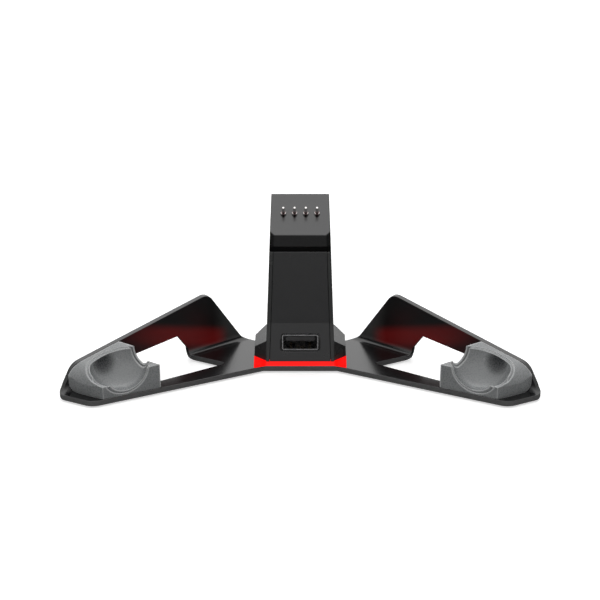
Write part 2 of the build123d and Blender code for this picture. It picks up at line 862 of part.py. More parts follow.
def inner_slope_z(y):
    """Height of the head's inner face below the slope."""
    return head_front_z + (y - head_front_y) * tan(head_slope) - head_drop


head_block = tapered_block(
    head_foot_z,
    dock_height,
    [
        (head_front_y, head_foot_z),
        (head_front_y, head_front_z),
        (tower_rear_y, dock_height),
        (tower_rear_y, head_foot_z),
    ],
)
head_hollow = tapered_block(
    head_foot_z + head_wall,
    dock_height,
    [
        (head_inner_front_y, head_foot_z + head_wall),
        (head_inner_front_y, inner_slope_z(head_inner_front_y)),
        (head_inner_rear_y, inner_slope_z(head_inner_rear_y)),
        (head_inner_rear_y, head_foot_z + head_wall),
    ],
    inset=head_wall,
)
spigot_block = tapered_block(
    spigot_foot_z,
    head_foot_z,
    upright(spigot_front_y, spigot_rear_y, spigot_foot_z, head_foot_z),
    inset=spigot_inset,
)
spigot_way = tapered_block(
    spigot_foot_z,
    head_foot_z + head_wall,
    upright(
        spigot_front_y + head_spigot_wall,
        spigot_rear_y - head_spigot_wall,
        spigot_foot_z,
        head_foot_z + head_wall,
    ),
    inset=spigot_inset + head_spigot_wall,
)

with BuildPart() as head_cap:
    add(head_block)
    head_front_edges = head_cap.faces().sort_by(Axis.Y)[0].edges().filter_by(Axis.X, reverse=True)
    chamfer(head_front_edges, head_chamfer)
    slope_face = head_cap.faces().sort_by(Axis((0, 0, 0), contact_plane.z_dir))[-1]
    fillet(slope_face.edges(), head_edge_round)
    add(head_hollow, mode=Mode.SUBTRACT)
    add(spigot_block)
    add(spigot_way, mode=Mode.SUBTRACT)
    # Bosses that carry the contact board
    with BuildSketch(contact_plane.offset(-contact_drop)):
        with Locations(*contact_screws):
            Circle(contact_boss_r)
    extrude(amount=contact_drop - head_wall / 2)
    with BuildSketch(contact_plane.offset(-contact_drop)):
        with Locations(*contact_screws):
            Circle(contact_screw_r + screw_clearance)
    extrude(amount=contact_screw_length - contact_thickness, mode=Mode.SUBTRACT)
    # Holes for the pins
    with BuildSketch(contact_plane):
        with Locations(*pin_places):
            Circle(barrel_r + pin_hole_clearance)
    extrude(amount=2 * head_wall, both=True, mode=Mode.SUBTRACT)
write_part(head_cap, "head_cap")

# Neck band: black ring round the spigot, flush with the sides and set back at the front
neck_front_y = tower_top_y + neck_recess
neck_block = tapered_block(
    tower_top_z,
    head_foot_z,
    upright(neck_front_y, tower_rear_y, tower_top_z, head_foot_z),
)
neck_way = tapered_block(
    tower_top_z,
    head_foot_z,
    upright(
        spigot_front_y - head_spigot_gap,
        spigot_rear_y + head_spigot_gap,
        tower_top_z,
        head_foot_z,
    ),
    inset=spigot_inset - head_spigot_gap,
)

with BuildPart() as neck_band:
    add(neck_block)
    add(neck_way, mode=Mode.SUBTRACT)
write_part(neck_band, "neck_band")

# Contact board: carries the pins and a socket, and is screwed to the head's bosses
contact_face = contact_plane.offset(-contact_drop)
contact_underside = contact_face.offset(-contact_thickness)

with BuildPart() as contact_board:
    with BuildSketch(contact_face):
        with Locations((0, (contact_up - contact_down) / 2)):
            Rectangle(2 * contact_half, contact_up + contact_down)
        with Locations(*pin_places):
            Circle(pin_tail_r + screw_clearance, mode=Mode.SUBTRACT)
        with Locations(*contact_screws):
            Circle(contact_screw_r + screw_clearance, mode=Mode.SUBTRACT)
    extrude(amount=-contact_thickness)
write_part(contact_board, "contact_board")

# Sprung pins: each has a turned barrel, a plunger and a coil spring under it. Heights are above the slope.
bore_foot = barrel_floor - contact_drop
lip_foot = barrel_show - barrel_lip_length
tail_top = lip_foot - plunger_stop_gap
tail_foot = tail_top - plunger_tail_length
tip_centre = barrel_show + plunger_show - plunger_r
spring_foot = bore_foot + spring_end_gap + spring_wire / 2
spring_run = tail_foot - spring_end_gap - spring_wire / 2 - spring_foot

for number, (pin_x, pin_v) in enumerate(pin_places, start=1):
    pin_plane = Plane(
        origin=contact_plane.from_local_coords(Vector(pin_x, pin_v, 0)),
        x_dir=(1, 0, 0),
        z_dir=(0, -cos(head_slope), -sin(head_slope)),
    )
    pin_axis = Axis(pin_plane.origin, contact_plane.z_dir)
    with BuildPart() as pin_barrel:
        with BuildSketch(pin_plane):
            with BuildLine():
                Polyline(
                    (0, -contact_drop - pin_tail_length),
                    (pin_tail_r, -contact_drop - pin_tail_length),
                    (pin_tail_r, -contact_drop),
                    (barrel_r, -contact_drop),
                    (barrel_r, barrel_show - barrel_bevel),
                    (barrel_r - barrel_bevel, barrel_show),
                    (barrel_lip_r, barrel_show),
                    (barrel_lip_r, lip_foot),
                    (barrel_bore_r, lip_foot),
                    (barrel_bore_r, bore_foot),
                    (0, bore_foot),
                    close=True,
                )
            make_face()
        revolve(axis=pin_axis)
    write_part(pin_barrel, f"pin_barrel_{number}")

    with BuildPart() as pin_plunger:
        with BuildSketch(pin_plane):
            with BuildLine():
                Polyline(
                    (0, tip_centre + plunger_r),
                    (0, tail_foot),
                    (plunger_tail_r, tail_foot),
                    (plunger_tail_r, tail_top),
                    (plunger_r, tail_top),
                    (plunger_r, tip_centre),
                )
                CenterArc(center=(0, tip_centre), radius=plunger_r, start_angle=0, arc_size=90)
            make_face()
        revolve(axis=pin_axis)
    write_part(pin_plunger, f"pin_plunger_{number}")

    spring_origin = pin_plane.from_local_coords(Vector(0, spring_foot, 0))
    with BuildPart() as pin_spring:
        with BuildLine():
            coil = Helix(
                pitch=spring_run / spring_turns,
                height=spring_run,
                radius=spring_r,
                center=spring_origin,
                direction=contact_plane.z_dir,
            )
        with BuildSketch(Plane(origin=coil @ 0, x_dir=(coil @ 0) - spring_origin, z_dir=coil % 0)):
            Rectangle(spring_wire, spring_wire)
        sweep(is_frenet=True)
    write_part(pin_spring, f"pin_spring_{number}")

# Main board on its posts, notched at the rear for the tower's bosses
board_rear_y = rear_inner_y - board_gap
board_rear_half = -rear_screw[0] - tower_boss_r - board_gap
board_notch_y = rear_screw[1] - tower_boss_r - board_gap

with BuildPart() as main_board:
    with BuildSketch(Plane.XY.offset(board_z)):
        with BuildLine():
            Polyline(
                (0, board_front_y),
                (board_half, board_front_y),
                (board_half, board_notch_y),
                (board_rear_half, board_notch_y),
                (board_rear_half, board_rear_y),
                (0, board_rear_y),
                close=True,
            )
        make_face()
        with Locations((post_x, post_y)):
            Circle(board_screw_r + screw_clearance, mode=Mode.SUBTRACT)
        mirror(about=Plane.YZ)
    extrude(amount=board_thickness)
write_part(main_board, "main_board")

# Port for a plug at the front: folded shell with spring tabs, insulator with its tongue, contact strips
port_plane = Plane.XZ.offset(-port_front_y)
port_inner_width = port_width - 2 * port_sheet
port_inner_height = port_height - 2 * port_sheet
port_back_y = port_front_y + port_depth - port_sheet
port_floor_z = board_top_z + port_sheet
tab_front_y = port_front_y + port_tab_setback
tongue_top_z = port_z + port_height / 2 - port_sheet - tongue_top_gap
tongue_foot_z = tongue_top_z - tongue_thickness
tongue_front_y = port_front_y + tongue_setback
tongue_back_y = tongue_front_y + tongue_length
strip_front_y = tongue_front_y + contact_strip_setback

with BuildPart() as usb_port_shell:
    with BuildSketch(port_plane):
        with Locations((0, port_z)):
            RectangleRounded(port_width, port_height, port_round)
    extrude(amount=-port_depth)
    with BuildSketch(port_plane):
        with Locations((0, port_z)):
            RectangleRounded(port_inner_width, port_inner_height, port_round - port_sheet)
    extrude(amount=port_sheet - port_depth, mode=Mode.SUBTRACT)
    tab_points = [
        (tab_front_y, port_floor_z),
        (tab_front_y + port_tab_length / 2, port_floor_z + port_tab_rise),
        (tab_front_y + port_tab_length, port_floor_z),
    ]
    extrude(side_view(tab_points, port_tab_x - port_tab_width / 2), amount=port_tab_width)
    mirror(about=Plane.YZ)
write_part(usb_port_shell, "usb_port_shell")

with BuildPart() as usb_port_tongue:
    extrude(
        side_view(upright(tongue_front_y, tongue_back_y, tongue_foot_z, tongue_top_z)),
        amount=tongue_width / 2,
        both=True,
    )
    with BuildSketch(Plane.XZ.offset(-tongue_back_y)):
        with Locations((0, port_z)):
            RectangleRounded(
                port_inner_width - 2 * port_fit,
                port_inner_height - 2 * port_fit,
                port_round - port_sheet,
            )
    extrude(amount=tongue_back_y - port_back_y)
write_part(usb_port_tongue, "usb_port_tongue")

with BuildPart() as usb_port_contacts:
    with BuildSketch(Plane.XY.offset(tongue_foot_z)):
        for strip_x in (contact_strip_near_x, contact_strip_far_x):
            with Locations((strip_x, strip_front_y + contact_strip_length / 2)):
                Rectangle(contact_strip_width, contact_strip_length)
        mirror(about=Plane.YZ)
    extrude(amount=-contact_strip_thickness)
write_part(usb_port_contacts, "usb_port_contacts")

# Power inlet at the rear, under the board
inlet_plane = Plane.XZ.offset(-inlet_mouth_y)
inlet_inner_width = inlet_width - 2 * inlet_sheet
inlet_inner_height = inlet_height - 2 * inlet_sheet
inlet_block_depth = inlet_depth - inlet_sheet - inlet_block_length

with BuildPart() as power_inlet_shell:
    with BuildSketch(inlet_plane):
        with Locations((0, inlet_z)):
            SlotOverall(inlet_width, inlet_height)
    extrude(amount=inlet_depth)
    with BuildSketch(inlet_plane):
        with Locations((0, inlet_z)):
            SlotOverall(inlet_inner_width, inlet_inner_height)
    extrude(amount=inlet_depth - inlet_sheet, mode=Mode.SUBTRACT)
write_part(power_inlet_shell, "power_inlet_shell")

with BuildPart() as power_inlet_tongue:
    with BuildSketch(inlet_plane.offset(inlet_block_depth)):
        with Locations((0, inlet_z)):
            SlotOverall(inlet_inner_width - 2 * port_fit, inlet_inner_height - 2 * port_fit)
    extrude(amount=inlet_block_length)
    with BuildSketch(inlet_plane.offset(inlet_block_depth)):
        with Locations((0, inlet_z)):
            Rectangle(inlet_tongue_width, inlet_tongue_thickness)
    extrude(amount=-inlet_tongue_length)
write_part(power_inlet_tongue, "power_inlet_tongue")

# Sockets on the two boards, and the ribbon between them
socket_y = board_rear_y - socket_rear_gap - socket_depth / 2
ribbon_low = Vector(0, socket_y, board_top_z + socket_height)
ribbon_high = contact_underside.from_local_coords(Vector(0, contact_socket_v, -contact_socket_height))
ribbon_corner = Vector(0, socket_y, ribbon_high.Z - (socket_y - ribbon_high.Y) / tan(head_slope))

with BuildPart() as board_socket:
    with BuildSketch(Plane.XY.offset(board_top_z)):
        with Locations((0, socket_y)):
            Rectangle(socket_width, socket_depth)
    extrude(amount=socket_height)
write_part(board_socket, "board_socket")

with BuildPart() as contact_socket:
    with BuildSketch(contact_underside):
        with Locations((0, contact_socket_v)):
            Rectangle(socket_width, socket_depth)
    extrude(amount=-contact_socket_height)
write_part(contact_socket, "contact_socket")

with BuildPart() as ribbon_cable:
    with BuildLine():
        FilletPolyline(ribbon_low, ribbon_corner, ribbon_high, radius=ribbon_bend)
    with BuildSketch(Plane(origin=ribbon_low, x_dir=(1, 0, 0), z_dir=(0, 0, 1))):
        Rectangle(ribbon_width, ribbon_thickness)
    sweep()
write_part(ribbon_cable, "ribbon_cable")

# Small parts under the main board: charge chip between coil and capacitors, lamps along the front edge
with BuildPart() as charge_chip:
    with BuildSketch(Plane.XY.offset(board_z)):
        with Locations((0, chip_y)):
            Rectangle(chip_size, chip_size)
    extrude(amount=-chip_height)
write_part(charge_chip, "charge_chip")

with BuildPart() as power_coil:
    with BuildSketch(Plane.XY.offset(board_z)):
        with Locations((-coil_x, chip_y)):
            RectangleRounded(coil_size, coil_size, coil_round)
    extrude(amount=-coil_height)
write_part(power_coil, "power_coil")

with BuildPart() as capacitors:
    with BuildSketch(Plane.XY.offset(board_z)):
        with Locations((capacitor_x, chip_y)):
            with GridLocations(0, capacitor_pitch, 1, 3):
                Rectangle(capacitor_length, capacitor_width)
    extrude(amount=-capacitor_width)
write_part(capacitors, "capacitors")

with BuildPart() as status_leds:
    with BuildSketch(Plane.XY.offset(board_z)):
        with Locations((0, led_y)):
            with GridLocations(led_pitch, 0, 3, 1):
                Rectangle(led_width, led_depth)
    extrude(amount=-led_height)
write_part(status_leds, "status_leds")


def screw_set(name, seat, places, head_r, head_height, shank_r, shank_length):
    """Equal screws with six-sided drives: heads under the seat, shanks along its normal."""
    with BuildPart() as screws:
        with BuildSketch(seat):
            with Locations(*places):
                Circle(head_r)
        extrude(amount=-head_height)
        with BuildSketch(seat):
            with Locations(*places):
                Circle(shank_r)
        extrude(amount=shank_length)
        with BuildSketch(seat.offset(-head_height)):
            with Locations(*places):
                RegularPolygon(drive_r, 6)
        extrude(amount=drive_depth, mode=Mode.SUBTRACT)
    write_part(screws, name)


screw_set(
    "tower_screws",
    Plane.XY.offset(foot_height + tower_screw_head),
    [(side * x, y) for x, y in (cheek_screw, rear_screw) for side in (-1, 1)],
    tower_screw_head_r,
    tower_screw_head,
    tower_screw_r,
    sheet - tower_screw_head + tower_screw_length - screw_clearance,
)
screw_set(
    "board_screws",
    Plane.XY.offset(foot_height + small_head_height),
    [board_screw, (post_x, post_y)],
    board_screw_head_r,
    small_head_height,
    board_screw_r,
    sheet - small_head_height + post_height + board_thickness,
)
screw_set(
    "contact_screws",
    contact_underside,
    contact_screws,
    contact_screw_head_r,
    small_head_height,
    contact_screw_r,
    contact_screw_length - screw_clearance,
)

# Feet in their recesses
with BuildPart() as rubber_feet:
    with BuildSketch(Plane.XY):
        with Locations(foot_tip, foot_rear):
            Circle(foot_r)
        mirror(about=Plane.YZ)
    extrude(amount=foot_height + foot_recess)
    chamfer(rubber_feet.edges().group_by(Axis.Z)[0], foot_bevel)
write_part(rubber_feet, "rubber_feet")
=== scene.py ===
"""Looks of the controller charging dock: materials, studio light and the photograph's camera."""
import json
from math import cos, pi, radians, sin

import bpy
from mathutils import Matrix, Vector

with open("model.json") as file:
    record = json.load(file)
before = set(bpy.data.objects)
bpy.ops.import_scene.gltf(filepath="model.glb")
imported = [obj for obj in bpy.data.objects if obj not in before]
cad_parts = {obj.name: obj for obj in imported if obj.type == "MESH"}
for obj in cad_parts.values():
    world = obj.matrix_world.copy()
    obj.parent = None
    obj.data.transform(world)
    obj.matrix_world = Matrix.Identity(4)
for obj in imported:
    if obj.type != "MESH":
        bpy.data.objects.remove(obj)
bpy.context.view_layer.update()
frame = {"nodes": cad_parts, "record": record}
nodes = frame["nodes"]
scene = bpy.context.scene

MM = 0.001
WHITE = (1.0, 1.0, 1.0, 1.0)
# Colour sockets of a Mix node, whose names its number sockets share
MIX_FIRST = 6
MIX_SECOND = 7
MIX_RESULT = 2

# Moulded plastic: features to the metre, depth of the grain, rounding seen at edges
GRAIN_PER_M = 3200.0
CLOUD_PER_M = 140.0
GRAIN_DEPTH = 0.02 * MM
EDGE_RADIUS = 0.3 * MM
BEVEL_SAMPLES = 6

# Tray walls: direction of the left one in plan, and its root. Run goes along a wall from its root and depth
# out of its inner face, alike on both sides. A pair is where a mask starts and where it stops.
WALL_ALONG = cos(radians(34.5))
WALL_ACROSS = sin(radians(34.5))
WALL_ROOT_X = 22.1 * MM
WALL_ROOT_Y = 24.1 * MM
WALL_RUN_START = WALL_ROOT_Y * WALL_ACROSS - WALL_ROOT_X * WALL_ALONG
WALL_DEPTH_START = WALL_ROOT_Y * WALL_ALONG + WALL_ROOT_X * WALL_ACROSS
WALL_FACING = (0.8, 0.95)
WALL_FACE_DEPTH = (2.6 * MM, 3.4 * MM)
# Painted reflection at the wall roots: the run over which it fades out, and its grey
WALL_ROOT_RUN = (3.0 * MM, 13.0 * MM)
PAINTED_ROOT_REFLECTION = (0.1, 0.101, 0.1)
WALL_ROUGHNESS = 0.34
TRAY_BLACK = (0.004, 0.004, 0.0044)
TRAY_ROUGHNESS = 0.22
# Cut edges of the tray: upright faces below the top of the floor, made paler by a painted reflection of the
# white floor
CUT_UPRIGHT = (0.4, 0.7)
CUT_HEIGHT = (2.55 * MM, 2.7 * MM)
PAINTED_CUT_REFLECTION = (0.1, 0.1, 0.1)
# Painted red light from the strip on the walls: its band rises with the run, and fades at top, foot and both
# ends
GLOW_RISE = 0.3
GLOW_TOP = (4.4 * MM, 8.6 * MM)
GLOW_FOOT = (-2.5 * MM, 1.5 * MM)
GLOW_FOOT_SHARE = 0.3
GLOW_START = (5.0 * MM, 11.0 * MM)
GLOW_STOP = (30.0 * MM, 56.0 * MM)
PAINTED_GLOW_RED = (1.0, 0.01, 0.008, 1.0)
GLOW_STRENGTH = 0.066
# Faint streaks in that painted light, longer along the wall than up it
STREAK_PER_M = 120.0
STREAK_STRETCH = (0.35, 0.35, 2.0)

# Cups: which way the back of a bowl faces, where shade is painted, with x counted towards the middle
BOWL_BACK = (0.5, -0.8, 0.3)
BOWL_BACK_FACING = (0.935, 0.99)
CUP_EDGE_RADIUS = 0.6 * MM

# Pins: their direction, how far along it the collars end, and which of their faces get a painted dark
# reflection
PIN_LEAN = radians(30.35)
PIN_AXIS = (0.0, -sin(PIN_LEAN), cos(PIN_LEAN))
COLLAR_TOP = 43.95 * MM
COLLAR_HEIGHT = (COLLAR_TOP + 0.2 * MM, COLLAR_TOP + 0.4 * MM)
COLLAR_FLAT = (0.8, 0.95)
COLLAR_SIDE = (0.35, 0.6)

# Light strip: how far from the middle its wings begin
WING_START = (12.2 * MM, 12.8 * MM)

# Floor: its width, and what the eye sees on top of its lit colour
FLOOR_SIZE = 6.0
FLOOR_LIFT = 0.55

# Studio in reflections: brightness by height over the horizon in degrees, and how much of it the sides lose
SKY = {
    -40.0: 0.1,
    -25.0: 0.17,
    -19.2: 0.49,
    -11.6: 0.98,
    0.0: 0.95,
    25.0: 1.95,
    50.0: 1.8,
    75.0: 2.6,
    90.0: 3.15,
}
SKY_TOP = 3.5
SKY_SIDE = (0.35, 0.75)
SKY_SIDE_LOSS_LOW = 0.75
SKY_SIDE_LOSS_HIGH = 0.45
SKY_HORIZON = (-0.05, 0.1)
SKY_OVERHEAD = (0.5, 0.9)
# Studio as a source of soft light
SKY_FILL = 0.25

CAMERA_PLACE = (0.0, -0.4986, 0.2623)
CAMERA_TILT = radians(65.0)
CAMERA_LENS = 92.56
CAMERA_SENSOR = 36.0
CAMERA_SHIFT = -0.0003


def scaled(colour, factor):
    return [min(1.0, c * factor) for c in colour]


class Graph:
    """A node tree, with short ways to add nodes and wire them."""

    def __init__(self, tree, place="Object"):
        self.tree = tree
        self.place = self.add("ShaderNodeTexCoord").outputs[place]

    def add(self, kind, **settings):
        node = self.tree.nodes.new(kind)
        for key, value in settings.items():
            setattr(node, key, value)
        return node

    def wire(self, source, target):
        self.tree.links.new(source, target)

    def noise(self, per_m, detail=2.0, stretch=None):
        """Noise over the object, with so many features to the metre."""
        node = self.add("ShaderNodeTexNoise")
        node.inputs["Scale"].default_value = per_m
        node.inputs["Detail"].default_value = detail
        place = self.place
        if stretch:
            mapping = self.add("ShaderNodeMapping")
            mapping.inputs["Scale"].default_value = stretch
            self.wire(place, mapping.inputs["Vector"])
            place = mapping.outputs["Vector"]
        self.wire(place, node.inputs["Vector"])
        return node.outputs["Fac"]

    def spread(self, value, low, high, start=0.3, stop=0.7, smooth=False):
        """A value between start and stop, by default the reach of most noise, spread from low to high."""
        node = self.add("ShaderNodeMapRange", interpolation_type="SMOOTHSTEP" if smooth else "LINEAR")
        node.inputs["From Min"].default_value = start
        node.inputs["From Max"].default_value = stop
        node.inputs["To Min"].default_value = low
        node.inputs["To Max"].default_value = high
        self.wire(value, node.inputs["Value"])
        return node.outputs["Result"]

    def math(self, kind, *values):
        node = self.add("ShaderNodeMath", operation=kind)
        for socket, value in zip(node.inputs, values):
            if isinstance(value, bpy.types.NodeSocket):
                self.wire(value, socket)
            else:
                socket.default_value = value
        return node.outputs["Value"]

    def product(self, first, *others):
        for other in others:
            first = self.math("MULTIPLY", first, other)
        return first

    def offset(self, base, value, factor):
        """A base value plus another one times a factor."""
        return self.math("MULTIPLY_ADD", value, factor, base)

    def blend(self, factor, first, second):
        """Mix of two colours; each is a colour or another node's output."""
        node = self.add("ShaderNodeMix", data_type="RGBA")
        self.wire(factor, node.inputs["Factor"])
        for socket, colour in ((node.inputs[MIX_FIRST], first), (node.inputs[MIX_SECOND], second)):
            if isinstance(colour, bpy.types.NodeSocket):
                self.wire(colour, socket)
            else:
                socket.default_value = (*colour, 1.0)
        return node.outputs[MIX_RESULT]

    def split(self, vector):
        """The three parts of a vector."""
        node = self.add("ShaderNodeSeparateXYZ")
        self.wire(vector, node.inputs["Vector"])
        return node.outputs

    def along(self, vector, direction):
        """How far a vector goes in a direction."""
        node = self.add("ShaderNodeVectorMath", operation="DOT_PRODUCT")
        node.inputs[1].default_value = direction
        self.wire(vector, node.inputs[0])
        return node.outputs["Value"]


class Skin(Graph):
    """A material with its Principled shader."""

    def __init__(self, name):
        self.material = bpy.data.materials.new(name)
        self.material.use_nodes = True
        super().__init__(self.material.node_tree)
        self.shader = self.tree.nodes["Principled BSDF"]

    def socket(self, key):
        return self.shader.inputs[key.replace("_", " ")]

    def set(self, **values):
        """Fixed values of the shader's sockets."""
        for key, value in values.items():
            self.socket(key).default_value = value

    def feed(self, **outputs):
        """Wires from other nodes to the shader's sockets."""
        for key, output in outputs.items():
            self.wire(output, self.socket(key))

    def normal(self):
        return self.add("ShaderNodeNewGeometry").outputs["Normal"]

    def facing(self, direction):
        """How far the surface faces a direction, whose x counts towards the middle on both sides."""
        side = self.math("SIGN", self.split(self.place)["X"])
        normal = self.split(self.normal())
        share = self.product(side, normal["X"], -direction[0])
        share = self.offset(share, normal["Y"], direction[1])
        return self.offset(share, normal["Z"], direction[2])

    def edge_mask(self, radius, sharp=0.8, flat=0.995):
        """Where the surface turns an edge, and the softened normal there."""
        bevel = self.add("ShaderNodeBevel", samples=BEVEL_SAMPLES)
        bevel.inputs["Radius"].default_value = radius
        dot = self.add("ShaderNodeVectorMath", operation="DOT_PRODUCT")
        self.wire(bevel.outputs["Normal"], dot.inputs[0])
        self.wire(self.normal(), dot.inputs[1])
        return self.spread(dot.outputs["Value"], 1.0, 0.0, sharp, flat), bevel.outputs["Normal"]

    def bump(self, height, strength, depth, normal=None):
        node = self.add("ShaderNodeBump")
        node.inputs["Strength"].default_value = strength
        node.inputs["Distance"].default_value = depth
        self.wire(height, node.inputs["Height"])
        if normal:
            self.wire(normal, node.inputs["Normal"])
        self.feed(Normal=node.outputs["Normal"])


def moulded_skin(name, colour, roughness, edge=1.5, specular=0.5, grain=0.06):
    """Moulded plastic: fine spark-eroded grain, faint clouds of gloss, and edges rounded in shading with a
    painted highlight on them.
    """
    g = Skin(name)
    cloud = g.noise(CLOUD_PER_M, 3.0)
    fine = g.noise(GRAIN_PER_M, 1.0)
    painted_highlight_mask, normal = g.edge_mask(EDGE_RADIUS)
    shade = g.blend(cloud, scaled(colour, 0.85), scaled(colour, 1.15))
    # Painted highlight: edges lighter in colour than the rest of the surface
    g.colour = g.blend(painted_highlight_mask, shade, scaled(colour, edge))
    g.feed(Base_Color=g.colour, Roughness=g.spread(cloud, roughness * 0.9, roughness * 1.1))
    g.set(Specular_IOR_Level=specular)
    g.bump(fine, grain, GRAIN_DEPTH, normal)
    return g


def moulded(name, colour, roughness, **options):
    return moulded_skin(name, colour, roughness, **options).material


def tray(name):
    """Tray plastic: painted reflections make the cut edges and wall roots paler, and painted red light from
    the strip lies on the inner sides of the walls.
    """
    g = moulded_skin(name, TRAY_BLACK, TRAY_ROUGHNESS, specular=0.55, grain=0.01)
    place = g.split(g.place)
    half = g.math("ABSOLUTE", place["X"])
    run = g.offset(WALL_RUN_START, half, WALL_ALONG)
    run = g.offset(run, place["Y"], -WALL_ACROSS)
    depth = g.offset(WALL_DEPTH_START, half, -WALL_ACROSS)
    depth = g.offset(depth, place["Y"], -WALL_ALONG)
    facing = g.facing((WALL_ACROSS, -WALL_ALONG, 0.0))
    inner = g.product(
        g.spread(facing, 0.0, 1.0, *WALL_FACING, smooth=True),
        g.spread(depth, 1.0, 0.0, *WALL_FACE_DEPTH),
    )
    painted_root_reflection = g.product(inner, g.spread(run, 1.0, 0.0, *WALL_ROOT_RUN, smooth=True))
    flatness = g.math("ABSOLUTE", g.split(g.normal())["Z"])
    # Painted reflection of the white floor on the upright cut edges
    painted_cut_reflection = g.product(
        g.spread(flatness, 1.0, 0.0, *CUT_UPRIGHT),
        g.spread(place["Z"], 1.0, 0.0, *CUT_HEIGHT),
    )
    g.feed(
        Base_Color=g.blend(painted_cut_reflection, g.blend(painted_root_reflection, g.colour, PAINTED_ROOT_REFLECTION), PAINTED_CUT_REFLECTION),
        Roughness=g.spread(inner, TRAY_ROUGHNESS, WALL_ROUGHNESS, 0.0, 1.0),
    )
    # Painted red light from the strip, given as emission on the inner sides of the walls
    over = g.offset(place["Z"], run, -GLOW_RISE)
    streak = g.noise(STREAK_PER_M, 3.0, STREAK_STRETCH)
    painted_glow = g.product(
        inner,
        g.spread(over, 1.0, 0.0, *GLOW_TOP, smooth=True),
        g.spread(over, GLOW_FOOT_SHARE, 1.0, *GLOW_FOOT, smooth=True),
        g.spread(run, 0.0, 1.0, *GLOW_START, smooth=True),
        g.spread(run, 1.0, 0.0, *GLOW_STOP, smooth=True),
        g.spread(streak, 0.8, 1.0),
        GLOW_STRENGTH,
    )
    g.set(Emission_Color=PAINTED_GLOW_RED)
    g.feed(Emission_Strength=painted_glow)
    return g.material


def metal(name, colour, roughness, stretch=(1.0, 1.0, 1.0)):
    """Metal with faint drawn lines and a little dulling."""
    g = Skin(name)
    lines = g.noise(2500.0, 3.0, stretch)
    cloud = g.noise(600.0, 2.0)
    g.feed(
        Base_Color=g.blend(cloud, scaled(colour, 0.82), colour),
        Roughness=g.spread(lines, roughness * 0.7, roughness * 1.4),
    )
    g.set(Metallic=1.0)
    g.bump(lines, 0.1, 0.01 * MM)
    return g.material


def pin(name):
    """Polished pin metal, with a painted dark reddish reflection on the collars' tops, fronts and rears."""
    g = Skin(name)
    cloud = g.noise(900.0, 2.0)
    top = g.spread(g.along(g.normal(), PIN_AXIS), 0.0, 1.0, *COLLAR_FLAT)
    sideways = g.math("ABSOLUTE", g.split(g.normal())["X"])
    front_or_rear = g.spread(sideways, 1.0, 0.0, *COLLAR_SIDE)
    collar = g.spread(g.along(g.place, PIN_AXIS), 1.0, 0.0, *COLLAR_HEIGHT)
    # Painted dark reflection on the collars, leaving bright sides
    painted_dark_reflection = g.product(g.math("MAXIMUM", top, front_or_rear), collar)
    bright = g.blend(cloud, (0.84, 0.8, 0.79), (0.9, 0.87, 0.86))
    g.feed(Base_Color=g.blend(painted_dark_reflection, bright, (0.06, 0.04, 0.04)), Roughness=g.spread(cloud, 0.07, 0.12))
    g.set(Metallic=1.0)
    return g.material


def silicone(name):
    """Clouded grey silicone with a glossy skin, a painted highlight on its edges and painted shade at the
    back of the bowl.
    """
    g = Skin(name)
    cloud = g.noise(180.0, 4.0)
    fine = g.noise(2200.0, 2.0)
    painted_highlight_mask, normal = g.edge_mask(CUP_EDGE_RADIUS, 0.88, 0.997)
    # Painted shade: the back of the bowl near black
    painted_bowl_shade = g.spread(g.facing(BOWL_BACK), 0.0, 1.0, *BOWL_BACK_FACING, smooth=True)
    shade = g.blend(cloud, (0.2, 0.207, 0.21), (0.245, 0.253, 0.256))
    shade = g.blend(painted_bowl_shade, shade, (0.012, 0.014, 0.016))
    g.feed(Base_Color=g.blend(painted_highlight_mask, shade, (0.62, 0.63, 0.635)), Roughness=g.spread(fine, 0.24, 0.32))
    g.set(
        Subsurface_Weight=0.2,
        Subsurface_Radius=(1.0, 1.0, 1.0),
        Subsurface_Scale=1.5 * MM,
        Specular_IOR_Level=0.6,
    )
    g.bump(fine, 0.02, GRAIN_DEPTH, normal)
    return g.material


def glowing(name):
    """Red light guide, lit from behind: paler in the middle than in its wings, with faint clouds."""
    g = Skin(name)
    reach = g.math("ABSOLUTE", g.split(g.place)["X"])
    cloud = g.noise(260.0, 2.0)
    wing = g.spread(reach, 0.0, 1.0, *WING_START)
    centre = g.blend(cloud, (1.0, 0.015, 0.014), (1.0, 0.019, 0.017))
    g.feed(
        Emission_Color=g.blend(wing, centre, (0.93, 0.004, 0.003)),
        Base_Color=g.blend(cloud, (0.2, 0.002, 0.002), (0.3, 0.003, 0.002)),
        Roughness=g.spread(cloud, 0.18, 0.26),
    )
    g.set(Emission_Strength=1.0, Specular_IOR_Level=0.02)
    return g.material


def rubber(name, colour):
    """Dull rubber with a fine, slightly dusty grain."""
    g = Skin(name)
    cloud = g.noise(500.0, 3.0)
    fine = g.noise(4000.0, 2.0)
    g.feed(Base_Color=g.blend(cloud, colour, scaled(colour, 1.6)), Roughness=g.spread(fine, 0.7, 0.85))
    g.set(Specular_IOR_Level=0.3)
    g.bump(fine, 0.2, GRAIN_DEPTH)
    return g.material


def laminate(name, colour):
    """Circuit board: lacquer over woven glass."""
    g = Skin(name)
    weave = g.add("ShaderNodeTexWave", bands_direction="DIAGONAL")
    weave.inputs["Scale"].default_value = 700.0
    weave.inputs["Distortion"].default_value = 0.6
    g.wire(g.place, weave.inputs["Vector"])
    cloud = g.noise(300.0, 2.0)
    threads = weave.outputs["Fac"]
    g.feed(Base_Color=g.blend(threads, colour, scaled(colour, 1.25)), Roughness=g.spread(cloud, 0.28, 0.4))
    g.bump(threads, 0.08, 0.01 * MM)
    return g.material


